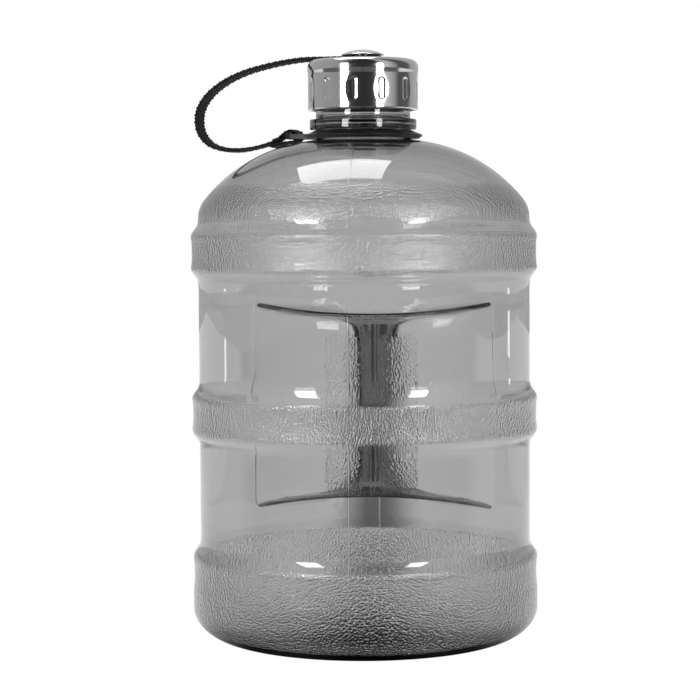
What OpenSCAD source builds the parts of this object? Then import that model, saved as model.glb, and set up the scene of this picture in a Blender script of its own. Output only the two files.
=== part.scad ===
// One-gallon water jug with a moulded-in handle, a screw cap with a steel shell, and a
// webbing tether that runs from a swivel on the cap to a loose ring on the neck.
// The origin is on the jug's axis at its foot, +Z is up and the handle is at +Y.
// Every outline is drawn as [radius, height], from the axis outwards and upwards.

/* [Body] */
// Radius of the smooth wall
wall_r = 78.7; // [78:0.1:79.5]
// Radius of the rib crests, the widest place of the jug
rib_r = 82.5; // [82:0.1:84]
// Radius of the flat between the two crests of a band
band_r = 81.8; // [81:0.1:81.9]
// Radius of the base band
base_r = 82.3; // [82:0.1:83]
// Thickness of the blown wall
wall_t = 1.9; // [1.6:0.1:2.2]
// Height of the middle of the upper band
upper_band_z = 184.7; // [182:0.1:185]
// Height of the middle of the middle band
middle_band_z = 108; // [104:0.5:112]
// Height of the crest that tops the base band
base_crest_z = 40; // [38:0.5:41]
// Distance between the two crests of a band
crest_gap = 15.5; // [14:0.5:16]

/* [Base] */
// Outer radius of the flat foot ring
foot_r = 60; // [58:1:62]
// Inner radius of the flat foot ring
foot_in_r = 50; // [46:1:52]
// Height of the raised middle of the base
punt_h = 7; // [5:0.5:8]

/* [Handle] */
// Width of the handle post
post_w = 21.7; // [20:0.1:24]
// Distance from the axis to the finger side of the post
post_y = 56; // [54:0.5:58]
// Distance from the axis to the deepest place of the finger recess
recess_y = 30; // [28:0.5:32]
// Height of the recess roof in its middle
roof_z = 151.8; // [150:0.1:154]
// Height of the recess floor in the middle of its mouth
floor_z = 59.2; // [57:0.1:61]

/* [Neck] */
// Radius of the neck under the thread
neck_r = 22.4; // [22.3:0.1:22.5]
// Radius of the mouth
bore_r = 20; // [19:0.1:20.2]
// Height of the rim
rim_z = 268.8; // [268.6:0.1:269]
// Axial travel of the thread in one turn
lead = 5; // [4.8:0.1:5.2]
// Turns of thread on the neck
thread_turns = 1.5; // [1.3:0.1:1.5]

/* [Cap] */
// Radius of the steel shell
cap_r = 26.05; // [26:0.05:26.2]
// Height of the lower edge of the shell
cap_bottom_z = 251.4; // [251:0.1:251.6]
// Height of the flat top of the shell
cap_top_z = 275.5; // [275.4:0.1:275.6]
// Thickness of the shell
sheet_t = 0.5; // [0.4:0.05:0.5]
// Number of grip dimples round the shell
dimples = 12; // [8:1:14]

/* [Tether] */
// Width of the webbing
strap_w = 10; // [9:0.5:10.5]
// Thickness of the webbing
strap_t = 1.6; // [1.4:0.1:1.6]
// Direction of the tether round the axis, in degrees from +X
strap_angle = 165; // [0:1:359]

/* [Hidden] */
$fn = 96;

// Body outline
base_fillet_h = 16;
base_step_z = 27;
crest_rise = 6;
crest_fall = 2.8;
shoulder_z = 200.8;
shoulder_round = 14;
crown_round = 75;
crown_c = 17;
edge = 0.6;

// Neck; its flange is hollow, with floors flange_skin thick
flange_r = 25.35;
flange_z = 242.4;
flange_h = 4.9;
flange_skin = 1.2;
thread_r = 23.75;
thread_z = 255;
thread_foot = 2.2;
thread_crest = 1;
thread_sink = 0.4;
thread_taper = 6;
thread_steps = 48;

// Finger recess: part of an upright drum behind the jug, between a floor that arches up and
// slopes inwards, and a roof that arches down; each arch is given at the corners of the mouth
corner_x = 61;
corner_depth = sqrt(wall_r * wall_r - corner_x * corner_x) - recess_y;
recess_r = (corner_x * corner_x + corner_depth * corner_depth) / (2 * corner_depth);
recess_c = recess_y + recess_r;
recess_spare = 20;
floor_arch = 6;
floor_slope = 7.2;
roof_arch = 5.5;

// Flares of the handle post, [sideways, upwards] and towards the fingers
flare_bottom = [28, 20];
flare_top = [16, 10];
flare_finger = 13;
flare_finger_top = 7;
post_reach = 95;
post_overlap = 3;
post_wall_t = 3;

// Neck ring and its tab; distances along the tab are counted from the axis
ring_bore_r = 22.75;
ring_z = 238.2;
ring_top_z = 241.9;
ring_top_r = 23.4;
ring_lip_r = 28.2;
ring_lip_z = 239.6;
ring_lip_round = 0.5;
ring_under_r = 26.6;
tab_w = 16;
tab_z = 238.6;
tab_t = 2.2;
tab_end = 38;
tab_round = 4;
slot_start = 30.6;
slot_end = 33.2;
slot_w = 11;
bar_r = 1.6;
bar_z = 240;

// Stack on the cap, from the shell upwards
gap = 0.05;
washer_r = 7;
washer_t = 0.35;
shank_r = 2.4;
hole_r = 2.7;
eyelet_r = 3.4;
eyelet_flange_r = 4.8;
eyelet_flange_t = 0.25;
eyelet_clearance = 0.1;
rivet_r = 10.05;
rivet_rim_t = 0.4;
rivet_h = 2.7;
washer_z = cap_top_z + gap;
strap_z = washer_z + washer_t + gap;
rivet_z = strap_z + strap_t + gap;

// Cap
cap_bulge_r = 26.35;
cap_corner = 3.9;
crease_z = 267.8;
crease_d = 0.05;
crease_h = 3.2;
hem_round = 0.9;
hem_lip = 1.5;
dimple_w = 3.6;
dimple_h = 10.8;
dimple_d = 0.45;
dimple_z = 260.8;
dimple_phase = 25.3;
liner_r = 24.95;
liner_bore_r = 24.05;
liner_z = 252;
liner_thread_r = 22.75;
liner_drop = 1.6;
liner_turns = 1.25;
gasket_r = 23.4;
gasket_t = 1.7;
plate_t = 1.8;
burr_r = 6.5;
burr_t = 0.8;
tail_r = 3.8;
tail_t = 0.9;

// Route of the webbing's middle line, as [distance from the axis, height]: from the cap,
// out and down in a free bow, back over the dome, and round the bar of the tab
strap_start = 10;
strap_tail = 9;
route = [
    [10, 276.75], [20, 276.75], [29.5, 276.5], [36.5, 275.9], [43, 275], [51.5, 273.4],
    [60, 271.3], [69, 267.8], [76.5, 263.3], [81.5, 258.5], [84.4, 253.5], [85.2, 248.5],
    [84.4, 243.5], [82, 239.5], [78.5, 236.6], [74, 234.9], [69, 234], [62.5, 233.9],
    [55, 234.9], [48.5, 236.4], [43.8, 238], [41.2, 239.7], [39, 241.5], [36.6, 242.6],
    [34.4, 242.4], [32.7, 241.4], [32.2, 239.8], [32.9, 238.2], [34.6, 237.3],
    [37.2, 237.1], [40, 236.8], [43, 236.1], [46, 235.2]
];
route_steps = 2;
stitch_rows = 5;
stitch_gap = 0.75;
stitch_start = 42.2;
stitch_r = 0.3;
stitch_bite = 0.15;
stitch_span = 0.8;
seam_s = 43.5;
seam_top_z = 238.12;
seam_low_z = 236.3;
seam_drop = 1 / 3;

// Smooth step from 0 to 1, and a ramp between two outline points that follows it
function ease(f) = f * f * (3 - 2 * f);
function ramp(r0, z0, r1, z1, steps = 8) =
    [for (i = [0 : steps - 1]) [r0 + (r1 - r0) * ease(i / steps), z0 + (z1 - z0) * i / steps]];

function arc(cr, cz, r, a0, a1, steps = 8) =
    [for (i = [0 : steps]) let (a = a0 + (a1 - a0) * i / steps) [cr + r * cos(a), cz + r * sin(a)]];

// One band of the wall: up to a crest, across the flat and back down, t inside the outer skin
function band(zc, t) = concat(
    ramp(wall_r - t, zc - crest_gap / 2 - crest_rise, rib_r - t, zc - crest_gap / 2),
    ramp(rib_r - t, zc - crest_gap / 2, band_r - t, zc - crest_gap / 2 + crest_fall, 4),
    ramp(band_r - t, zc + crest_gap / 2 - crest_fall, rib_r - t, zc + crest_gap / 2, 4),
    ramp(rib_r - t, zc + crest_gap / 2, wall_r - t, zc + crest_gap / 2 + crest_rise),
    [[wall_r - t, zc + crest_gap / 2 + crest_rise]]
);

// The base, from its raised middle over the foot ring to the top of the base band
function base(t) = concat(
    [for (i = [0 : 10]) [foot_in_r * i / 10, t + punt_h * (1 + cos(18 * i)) / 2]],
    [for (i = [0 : 12]) [foot_r + (base_r - foot_r - t) * sin(7.5 * i),
                         base_fillet_h - (base_fillet_h - t) * cos(7.5 * i)]],
    ramp(base_r - t, base_step_z - 1, band_r - t, base_step_z + 1, 4),
    ramp(band_r - t, base_crest_z - crest_fall, rib_r - t, base_crest_z, 4),
    ramp(rib_r - t, base_crest_z, wall_r - t, base_crest_z + crest_rise + 1),
    [[wall_r - t, base_crest_z + crest_rise + 1]]
);

// The shoulder and the crown, two arcs that meet in a tangent, up to radius r_end
function dome(t, r_end) =
    let (span = crown_round - shoulder_round,
         join = acos((wall_r - shoulder_round - crown_c) / span),
         crown_z = shoulder_z - span * sin(join),
         top = acos((r_end - crown_c) / (crown_round - t)))
    concat(
        arc(wall_r - shoulder_round, shoulder_z, shoulder_round - t, 0, join, 10),
        arc(crown_c, crown_z, crown_round - t, join + 3, top, 12)
    );

function body_outline(t, r_end) =
    concat(base(t), band(middle_band_z, t), band(upper_band_z, t), dome(t, r_end));

module outer_solid() {
    rotate_extrude()
        polygon(concat(body_outline(0, neck_r), [
            [neck_r, flange_z], [flange_r - edge, flange_z], [flange_r, flange_z + edge],
            [flange_r, flange_z + flange_h - edge], [flange_r - edge, flange_z + flange_h],
            [neck_r, flange_z + flange_h], [neck_r, rim_z - edge], [neck_r - edge, rim_z], [0, rim_z]
        ]));
}

module inner_solid() {
    rotate_extrude()
        polygon(concat(body_outline(wall_t, bore_r), [
            [bore_r, flange_z + flange_skin], [flange_r - wall_t, flange_z + flange_skin + edge],
            [flange_r - wall_t, flange_z + flange_h - flange_skin - edge],
            [bore_r, flange_z + flange_h - flange_skin],
            [bore_r, rim_z - edge], [bore_r + edge, rim_z], [bore_r + edge, rim_z + 1], [0, rim_z + 1]
        ]));
}

// The finger recess, grown by g on every side
module recess(g) {
    floor_r = (corner_x * corner_x + floor_arch * floor_arch) / (2 * floor_arch);
    roof_r = (corner_x * corner_x + roof_arch * roof_arch) / (2 * roof_arch);
    difference() {
        translate([0, recess_c, floor_z - recess_spare])
            cylinder(r = recess_r + g, h = roof_z - floor_z + 2 * recess_spare);
        translate([0, wall_r, floor_z])
            rotate([90 - floor_slope, 0, 0])
                translate([0, -floor_r, 0])
                    cylinder(r = floor_r - g, h = 2 * recess_r, center = true, $fn = 360);
        translate([0, wall_r, roof_z + roof_r])
            rotate([90, 0, 0])
                cylinder(r = roof_r - g, h = 2 * recess_r, center = true, $fn = 360);
    }
}

// Half of the post's outline, [half width, height], with a flare at both ends
function flare(w, z0, z1, low, high) = concat(
    [[w + low[0], z0]],
    [for (i = [1 : 8]) [w + low[0] * (1 - sin(i * 11.25)), z0 + low[1] * (1 - cos(i * 11.25))]],
    [for (i = [8 : -1 : 0]) [w + high[0] * (1 - sin(i * 11.25)), z1 - high[1] * (1 - cos(i * 11.25))]]
);

// The handle post, shrunk by g on every side; it runs into the roof and the floor of the recess
module post(g) {
    finger = post_y + g;
    z0 = floor_z - g - post_overlap;
    z1 = roof_z + g + post_overlap;
    side = flare(post_w / 2 - g, z0, z1, flare_bottom, flare_top);
    depth = [for (p = flare(0, z0, z1, flare_finger * [1, 1], flare_finger_top * [1, 1]))
        [finger - p[0], p[1]]];
    intersection() {
        translate([0, post_reach, 0])
            rotate([90, 0, 0])
                linear_extrude(post_reach)
                    polygon(concat(side, [for (i = [len(side) - 1 : -1 : 0]) [-side[i][0], side[i][1]]]));
        translate([-post_reach / 2, 0, 0])
            rotate([90, 0, 90])
                linear_extrude(post_reach)
                    polygon(concat(depth, [[post_reach, z1], [post_reach, z0]]));
        translate([0, 0, z0 - 1])
            cylinder(r = wall_r - g, h = z1 - z0 + 2);
    }
}

// A helical thread rib: root on radius r0, crest on radius r1, tapering out at both ends.
// The crest may lie inside or outside the root.
module thread_rib(r0, r1, z, turns) {
    n = round(thread_steps * turns);
    rings = [for (i = [0 : n])
        let (a = 360 * turns * i / n, zi = z + lead * turns * i / n,
             f = max(0.05, min(1, i / thread_taper, (n - i) / thread_taper)),
             rc = r0 + (r1 - r0) * f)
        [for (p = [[r0, -thread_foot / 2], [rc, -thread_crest / 2], [rc, thread_crest / 2],
                   [r0, thread_foot / 2]])
            [p[0] * cos(a), p[0] * sin(a), zi + p[1]]]];
    quads = [for (i = [0 : n - 1], j = [0 : 3]) let (k = (j + 1) % 4)
        [4 * i + j, 4 * i + k, 4 * i + 4 + k, 4 * i + 4 + j]];
    tris = concat([[3, 2, 1, 0]], [[4 * n, 4 * n + 1, 4 * n + 2, 4 * n + 3]],
                  [for (q = quads) [q[0], q[1], q[2]]], [for (q = quads) [q[0], q[2], q[3]]]);
    outward = r1 > r0;
    polyhedron(points = [for (ring = rings, p = ring) p],
               faces = outward ? tris : [for (t = tris) [for (i = [len(t) - 1 : -1 : 0]) t[i]]],
               convexity = 6);
}

module jug_body() {
    color([0.55, 0.55, 0.57, 0.6])
        union() {
            difference() {
                union() {
                    difference() {
                        outer_solid();
                        inner_solid();
                        recess(0);
                    }
                    difference() {
                        intersection() {
                            recess(wall_t);
                            inner_solid();
                        }
                        recess(0);
                    }
                    post(0);
                }
                post(post_wall_t);
            }
            thread_rib(neck_r - thread_sink, thread_r, thread_z, thread_turns);
        }
}

// Puts a part that is drawn in [distance from the axis, height] on the tether's side
module on_tether(width) {
    rotate([0, 0, strap_angle])
        translate([0, width / 2, 0])
            rotate([90, 0, 0])
                linear_extrude(width)
                    children();
}

module neck_ring() {
    color([0.06, 0.06, 0.07])
        difference() {
            union() {
                rotate_extrude()
                    polygon(concat(
                        [[ring_bore_r, ring_z], [ring_under_r, ring_z]],
                        arc(ring_lip_r - ring_lip_round, ring_lip_z, ring_lip_round, -45, 70, 5),
                        [[ring_top_r, ring_top_z], [ring_bore_r, ring_top_z]]
                    ));
                intersection() {
                    on_tether(tab_w)
                        union() {
                            translate([ring_top_r, tab_z])
                                square([tab_end - bar_r - ring_top_r, tab_t]);
                            hull() {
                                translate([slot_end + bar_r, bar_z])
                                    circle(bar_r, $fn = 32);
                                translate([tab_end - bar_r, bar_z])
                                    circle(bar_r, $fn = 32);
                            }
                        }
                    rotate([0, 0, strap_angle])
                        linear_extrude(rim_z)
                            polygon(concat(
                                [[0, -tab_w / 2]],
                                arc(tab_end - tab_round, -tab_w / 2 + tab_round, tab_round, -90, 0),
                                arc(tab_end - tab_round, tab_w / 2 - tab_round, tab_round, 0, 90),
                                [[0, tab_w / 2]]
                            ));
                }
            }
            rotate([0, 0, strap_angle])
                translate([slot_start, -slot_w / 2, ring_z - 1])
                    cube([slot_end - slot_start, slot_w, 6]);
        }
}

// Smooth curve through the route's points, and the unit normal at each point of a line
function curve(p, steps) = [
    for (i = [0 : len(p) - 2], k = [0 : steps - 1])
        let (f = k / steps, a = p[max(i - 1, 0)], b = p[i], c = p[i + 1], d = p[min(i + 2, len(p) - 1)])
        0.5 * (2 * b + (c - a) * f + (2 * a - 5 * b + 4 * c - d) * f * f
               + (3 * b - a - 3 * c + d) * f * f * f),
    p[len(p) - 1]
];
function normal(p, i) =
    let (d = p[min(i + 1, len(p) - 1)] - p[max(i - 1, 0)]) [-d[1], d[0]] / norm(d);

module strap() {
    line = curve(route, route_steps);
    last = len(line) - 1;
    color([0.05, 0.05, 0.055]) {
        on_tether(strap_w)
            polygon(concat(
                [for (i = [0 : last]) line[i] + normal(line, i) * strap_t / 2],
                [for (i = [last : -1 : 0]) line[i] - normal(line, i) * strap_t / 2]
            ));
        rotate([0, 0, strap_angle])
            difference() {
                translate([0, 0, strap_z])
                    linear_extrude(strap_t)
                        union() {
                            translate([strap_w / 2 - strap_tail, -strap_w / 2])
                                square([strap_start + strap_tail - strap_w / 2 + 0.1, strap_w]);
                            translate([strap_w / 2 - strap_tail, 0])
                                circle(strap_w / 2);
                        }
                translate([0, 0, strap_z - 1])
                    cylinder(r = eyelet_r + eyelet_clearance, h = strap_t + 2);
                for (z = [strap_z - 1, strap_z + strap_t - eyelet_flange_t - eyelet_clearance])
                    translate([0, 0, z])
                        cylinder(r = eyelet_flange_r + eyelet_clearance,
                                 h = 1 + eyelet_flange_t + eyelet_clearance);
            }
    }
}

// Rows of thread across both layers where the end of the webbing is sewn back
module strap_stitching() {
    color([0.16, 0.16, 0.17])
        for (i = [0 : stitch_rows - 1], side = [1, -1])
            let (s = stitch_start + i * stitch_gap,
                 layer_z = side > 0 ? seam_top_z : seam_low_z,
                 z = layer_z - (s - seam_s) * seam_drop + side * (strap_t / 2 + stitch_bite))
                rotate([0, 0, strap_angle])
                    translate([s, 0, z])
                        rotate([90, 0, 0])
                            cylinder(r = stitch_r, h = stitch_span * strap_w, center = true, $fn = 24);
}

module strap_eyelet() {
    color([0.3, 0.3, 0.32])
        translate([0, 0, strap_z])
            difference() {
                union() {
                    cylinder(r = eyelet_r, h = strap_t);
                    cylinder(r = eyelet_flange_r, h = eyelet_flange_t);
                    translate([0, 0, strap_t - eyelet_flange_t])
                        cylinder(r = eyelet_flange_r, h = eyelet_flange_t);
                }
                translate([0, 0, -1])
                    cylinder(r = hole_r, h = strap_t + 2);
            }
}

module washer(r, h, z) {
    translate([0, 0, z])
        difference() {
            cylinder(r = r, h = h);
            translate([0, 0, -1])
                cylinder(r = hole_r, h = h + 2);
        }
}

module swivel_washer() {
    color([0.1, 0.1, 0.11])
        washer(washer_r, washer_t, washer_z);
}

// A flat-sided slot shape, standing on the tangent plane of the cap at radius r
module dimple_slug(r, w, h, depth) {
    translate([r, 0, dimple_z])
        rotate([0, 90, 0])
            linear_extrude(depth)
                union() {
                    square([h - w, w], center = true);
                    for (side = [-1, 1])
                        translate([side * (h - w) / 2, 0])
                            circle(w / 2);
                }
}

module cap_shell() {
    color([0.72, 0.72, 0.73])
        difference() {
            union() {
                rotate_extrude()
                    polygon(concat(
                        [[cap_r - hem_lip, cap_bottom_z]],
                        arc(cap_r - hem_round, cap_bottom_z + hem_round, hem_round, -90, 0, 5),
                        [[cap_r, crease_z - 1], [cap_r - crease_d, crease_z]],
                        ramp(cap_r - crease_d, crease_z, cap_bulge_r, crease_z + crease_h, 5),
                        arc(cap_bulge_r - cap_corner, cap_top_z - cap_corner, cap_corner, 0, 90),
                        [[shank_r + gap, cap_top_z], [shank_r + gap, cap_top_z - sheet_t]],
                        arc(cap_bulge_r - cap_corner, cap_top_z - cap_corner, cap_corner - sheet_t,
                            90, 0),
                        [[cap_bulge_r - sheet_t, crease_z + crease_h],
                         [cap_r - crease_d - sheet_t, crease_z],
                         [cap_r - sheet_t, crease_z - 1],
                         [cap_r - sheet_t, cap_bottom_z + hem_round],
                         [cap_r - hem_lip, cap_bottom_z + sheet_t]]
                    ));
                for (i = [0 : dimples - 1])
                    rotate([0, 0, dimple_phase + i * 360 / dimples])
                        dimple_slug(cap_r - dimple_d - sheet_t, dimple_w + 2 * sheet_t,
                                    dimple_h + 2 * sheet_t, sheet_t + dimple_d / 2);
            }
            for (i = [0 : dimples - 1])
                rotate([0, 0, dimple_phase + i * 360 / dimples])
                    dimple_slug(cap_r - dimple_d, dimple_w, dimple_h, 2);
        }
}

module cap_liner() {
    plate_z = rim_z + gap + gasket_t + gap;
    color([0.12, 0.12, 0.13])
        union() {
            difference() {
                translate([0, 0, liner_z])
                    cylinder(r = liner_r, h = plate_z + plate_t - liner_z);
                translate([0, 0, liner_z - 1])
                    cylinder(r = liner_bore_r, h = plate_z - liner_z + 1);
            }
            thread_rib(liner_bore_r + thread_sink, liner_thread_r, thread_z - liner_drop,
                       liner_turns);
        }
}

module cap_gasket() {
    color([0.85, 0.85, 0.84])
        translate([0, 0, rim_z + gap])
            cylinder(r = gasket_r, h = gasket_t);
}

// Domed rivet: a shallow cap of a ball on a thin rim, the shank, and the peened tail
module cap_rivet() {
    rise = rivet_h - rivet_rim_t;
    ball = (rivet_r * rivet_r + rise * rise) / (2 * rise);
    span = asin(rivet_r / ball);
    shank_z = cap_top_z - sheet_t - gap - burr_t;
    color([0.78, 0.78, 0.79])
        rotate_extrude()
            polygon(concat(
                [[0, shank_z - tail_t], [tail_r - 0.4, shank_z - tail_t], [tail_r, shank_z - tail_t / 2],
                 [tail_r - 0.3, shank_z], [shank_r, shank_z], [shank_r, rivet_z], [rivet_r, rivet_z]],
                arc(0, rivet_z + rivet_h - ball, ball, 90 - span, 90, 12)
            ));
}

module rivet_washer() {
    color([0.7, 0.7, 0.72])
        washer(burr_r, burr_t, cap_top_z - sheet_t - gap - burr_t);
}

jug_body();
neck_ring();
strap();
strap_stitching();
strap_eyelet();
swivel_washer();
cap_shell();
cap_liner();
cap_gasket();
cap_rivet();
rivet_washer();
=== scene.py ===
"""Water jug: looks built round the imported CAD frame. Lengths are in metres, +Z is up, the
camera looks along +Y and the tether hangs towards -X."""
import math

import bmesh
import bpy
import numpy as np
from mathutils import Matrix, Vector


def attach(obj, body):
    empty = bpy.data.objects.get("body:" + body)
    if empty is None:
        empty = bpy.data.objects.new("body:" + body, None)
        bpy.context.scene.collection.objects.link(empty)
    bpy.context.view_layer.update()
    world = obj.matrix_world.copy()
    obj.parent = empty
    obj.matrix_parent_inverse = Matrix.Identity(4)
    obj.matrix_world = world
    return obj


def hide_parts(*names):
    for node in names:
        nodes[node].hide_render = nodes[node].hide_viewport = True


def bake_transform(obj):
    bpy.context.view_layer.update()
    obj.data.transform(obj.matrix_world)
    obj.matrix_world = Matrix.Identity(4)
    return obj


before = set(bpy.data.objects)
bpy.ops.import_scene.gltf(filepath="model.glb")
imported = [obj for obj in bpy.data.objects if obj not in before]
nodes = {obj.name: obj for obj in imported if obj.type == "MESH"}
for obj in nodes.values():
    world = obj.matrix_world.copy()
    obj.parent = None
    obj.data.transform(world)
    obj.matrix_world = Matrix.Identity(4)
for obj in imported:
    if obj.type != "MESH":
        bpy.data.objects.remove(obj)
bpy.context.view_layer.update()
scene = bpy.context.scene
MM = 0.001

# ---------- camera
CAM_DISTANCE, CAM_HEIGHT, CAM_LENS, CAM_SENSOR = 1.072, 0.1973, 115.6, 36
CAM_AZIMUTH, CAM_PITCH, CAM_YAW, CAM_ROLL = (math.radians(a) for a in (5.4, 3.18, 0.365, 0.33))


def add_object(name, data):
    obj = bpy.data.objects.new(name, data)
    scene.collection.objects.link(obj)
    return obj


def make_camera():
    data = bpy.data.cameras.new("camera")
    data.lens = CAM_LENS
    data.sensor_width = CAM_SENSOR
    data.clip_start = 0.05
    cam = add_object("camera", data)
    place = Vector((CAM_DISTANCE * math.sin(CAM_AZIMUTH), -CAM_DISTANCE * math.cos(CAM_AZIMUTH),
                    CAM_HEIGHT))
    turn = (Matrix.Rotation(CAM_AZIMUTH + CAM_YAW, 4, "Z")
            @ Matrix.Rotation(math.pi / 2 - CAM_PITCH, 4, "X")
            @ Matrix.Rotation(-CAM_ROLL, 4, "Z"))
    cam.matrix_world = Matrix.Translation(place) @ turn
    scene.camera = cam


make_camera()

# ---------- stage and light
CLEAR_BOUNCES, GLOSSY_BOUNCES = 32, 12

scene.view_settings.view_transform = "Standard"
scene.view_settings.look = "None"
scene.cycles.max_bounces = CLEAR_BOUNCES
scene.cycles.transmission_bounces = CLEAR_BOUNCES
scene.cycles.transparent_max_bounces = CLEAR_BOUNCES
scene.cycles.glossy_bounces = GLOSSY_BOUNCES
scene.cycles.volume_bounces = 0
scene.cycles.caustics_reflective = True
scene.cycles.caustics_refractive = True


def new_material(name):
    mat = bpy.data.materials.new(name)
    mat.use_nodes = True
    tree = mat.node_tree
    tree.nodes.clear()
    return mat, tree


def node(tree, kind, **values):
    """Adds a shader node and sets its properties (lower case) and its inputs (by their names)."""
    n = tree.nodes.new("ShaderNode" + kind)
    for key, value in values.items():
        if hasattr(n, key) and key not in n.inputs:
            setattr(n, key, value)
        else:
            n.inputs[key.replace("_", " ")].default_value = value
    return n


def mesh_object(name, vertices, faces, material, scale=MM, **attributes):
    """A smooth mesh of one material, with its attributes for each vertex."""
    mesh = bpy.data.meshes.new(name)
    mesh.from_pydata((np.asarray(vertices) * scale).tolist(), [], faces)
    mesh.update()
    mesh.shade_smooth()
    mesh.materials.append(material)
    for key, values in attributes.items():
        layer = mesh.attributes.new(key, "FLOAT", "POINT")
        layer.data.foreach_set("value", np.asarray(values, np.float32))
    return add_object(name, mesh)


def linked(tree, kind, links, **values):
    """A node's first output; links are what goes into its inputs, where it isn't None."""
    n = node(tree, kind, **values)
    for socket, value in links.items():
        if value is not None:
            tree.links.new(value, n.inputs[socket])
    return n.outputs[0]


def place_of(tree, kind="Object"):
    """The shaded place's coordinates, whole and by axis."""
    coords = node(tree, "TexCoord").outputs[kind]
    axes = node(tree, "SeparateXYZ")
    tree.links.new(coords, axes.inputs[0])
    return coords, axes.outputs


def maths(tree, operation, *values):
    """A Math node's result; its values are numbers or other nodes' outputs."""
    n = node(tree, "Math", operation=operation)
    for socket, value in zip(n.inputs, values):
        if isinstance(value, (int, float)):
            socket.default_value = value
        else:
            tree.links.new(value, socket)
    return n.outputs[0]


def fade(tree, value, span, low, high):
    """Goes smoothly from low to high while the value crosses the span."""
    return linked(tree, "MapRange", {"Value": value}, interpolation_type="SMOOTHSTEP",
                  From_Min=span[0], From_Max=span[1], To_Min=low, To_Max=high)


# Brightness by azimuth in degrees, 0 being the camera's side: of the studio in reflections, and
# of the backdrop that is seen through the jug
STUDIO = ((-180, 0.6), (-115, 0.5), (-60, 0.42), (-50, 0.3), (-30, 0.04), (30, 0.04), (50, 0.75),
          (68, 0.45), (80, 0.11), (108, 0.14), (120, 0.5), (180, 0.6))
BACKDROP = ((-180, 1), (-115, 1), (-88, 0.25), (88, 0.25), (115, 1), (180, 1))
# The backdrop fades overhead between these sines of a sight line's rise, down to this level
BACKDROP_TOP, OVERHEAD_LEVEL = (0.18, 0.5), 0.1


def make_world():
    """White where it is seen directly, a backdrop through the jug that is darker overhead, and a
    studio in reflections."""
    world = bpy.data.worlds.new("world")
    scene.world = world
    world.use_nodes = True
    tree = world.node_tree
    tree.nodes.clear()
    link = tree.links.new
    path = node(tree, "LightPath")
    coords, axes = place_of(tree, "Generated")
    turned = linked(tree, "Mapping", {"Vector": coords}, vector_type="VECTOR",
                    Rotation=(0, 0, math.pi / 2 - CAM_AZIMUTH))
    around = node(tree, "TexGradient", gradient_type="RADIAL")
    link(turned, around.inputs[0])

    def levels(table):
        ramp_node = node(tree, "ValToRGB")
        stops = ramp_node.color_ramp.elements
        while len(stops) < len(table):
            stops.new(0.5)
        for stop, (azimuth, level) in zip(stops, table):
            stop.position = 0.5 + azimuth / 360
            stop.color = (level, level, level, 1)
        link(around.outputs["Fac"], ramp_node.inputs[0])
        return ramp_node.outputs[0]

    def choose(test, no, yes=None):
        """Picks by the kind of ray; yes is white unless it is given."""
        mix = node(tree, "Mix", data_type="RGBA", B=(1, 1, 1, 1))
        link(path.outputs[test], mix.inputs["Factor"])
        link(no, mix.inputs["A"])
        if yes:
            link(yes, mix.inputs["B"])
        return mix.outputs["Result"]

    high = fade(tree, axes["Z"], BACKDROP_TOP, 1.0, OVERHEAD_LEVEL)
    behind = linked(tree, "VectorMath", {0: levels(BACKDROP), "Scale": high}, operation="SCALE")
    through = choose("Is Transmission Ray", levels(STUDIO), behind)
    back = linked(tree, "Background", {"Color": choose("Is Camera Ray", through)})
    link(back, node(tree, "OutputWorld").inputs[0])


make_world()

# Upright panels: azimuth from the camera's side in degrees, counted towards +X, distance from the
# axis, lowest and highest point, width, and radiance
SOFTBOXES = {
    "softbox_left": (-32.5, 0.5, 0.155, 0.47, 0.125, 12),
    "softbox_right": (40.5, 0.5, 0.155, 0.47, 0.105, 12),
    "strip_left": (-102, 1.0, 0.055, 0.1, 0.03, 5),
    "strip_right": (120, 1.0, 0.08, 0.125, 0.03, 5)}
OVERHEAD, OVERHEAD_AIM = (-0.17, 0.28, 1.22), (-0.17, 0.279, 0)
OVERHEAD_W, OVERHEAD_D, OVERHEAD_RADIANCE = 0.58, 0.46, 5


def panel(name, place, aim, width, height, radiance):
    """An area light that is seen in reflections only."""
    data = bpy.data.lights.new(name, "AREA")
    data.shape = "RECTANGLE"
    data.size = width
    data.size_y = height
    data.energy = radiance * math.pi * width * height
    lamp = add_object(name, data)
    turn = (Vector(aim) - Vector(place)).to_track_quat("-Z", "Y").to_matrix().to_4x4()
    lamp.matrix_world = Matrix.Translation(place) @ turn
    lamp.visible_camera = False


def softbox(name, azimuth, distance, z0, z1, width, radiance):
    """An upright panel that faces the axis."""
    a = math.radians(azimuth)
    z = (z0 + z1) / 2
    panel(name, (distance * math.sin(a), -distance * math.cos(a), z), (0, 0, z), width, z1 - z0,
          radiance)


for name, numbers in SOFTBOXES.items():
    softbox(name, *numbers)
panel("overhead", OVERHEAD, OVERHEAD_AIM, OVERHEAD_W, OVERHEAD_D, OVERHEAD_RADIANCE)

# Painted shade on the floor that the jug mirrors and refracts: a painted shadow under the foot, painted
# shade towards the front and a painted shadow streak under the post; their place, from where to where
# they fade, and their level
FLOOR_HALF = 3.0
FOOT_SHADOW_PLACE, FOOT_SHADOW_R, FOOT_SHADOW_LEVEL = (0.003, -0.045, 0), (0.05, 0.125), 0.015
FRONT_SHADE_Y, FRONT_SHADE_LEVEL = (-0.25, 0.0), 0.15
POST_SHADOW_LEAN, POST_SHADOW_X, POST_SHADOW_HALF_W, POST_SHADOW_LEVEL = 0.089, 0.0058, (0.004, 0.036), 0.25


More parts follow.
